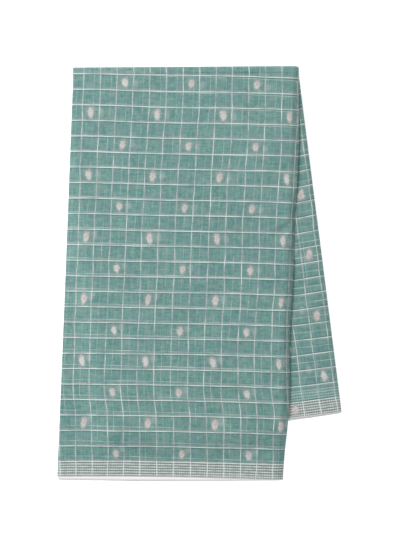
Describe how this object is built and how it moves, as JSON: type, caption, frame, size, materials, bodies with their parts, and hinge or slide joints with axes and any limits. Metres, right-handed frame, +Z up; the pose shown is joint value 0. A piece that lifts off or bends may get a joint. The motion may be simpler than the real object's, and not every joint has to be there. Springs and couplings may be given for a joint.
{
  "type": "folded silk saree",
  "caption": "Silk saree folded flat: a front leaf over a back leaf that swings out to the right, with a fold along the top, a fine check, small motifs and striped borders",
  "frame": {"origin": "Centre of the bounding box in plan, on the surface that the saree lies on", "axes": "+X to the right of the front leaf, +Y from the front hem up to the top fold, +Z up from the surface"},
  "size_m": [0.4316, 0.6278, 0.0231],
  "materials": {
    "cloth": "grey-green silk with a fine cream check, small cream motifs and cream border lines",
    "inner_cloth": "the same silk, with pale selvedges at both hems"
  },
  "bodies": {
    "root": {"front_wrap": "cloth", "top_roll": "cloth", "back_wrap": "cloth", "hidden_layers": "inner_cloth"}
  },
  "joints": []
}
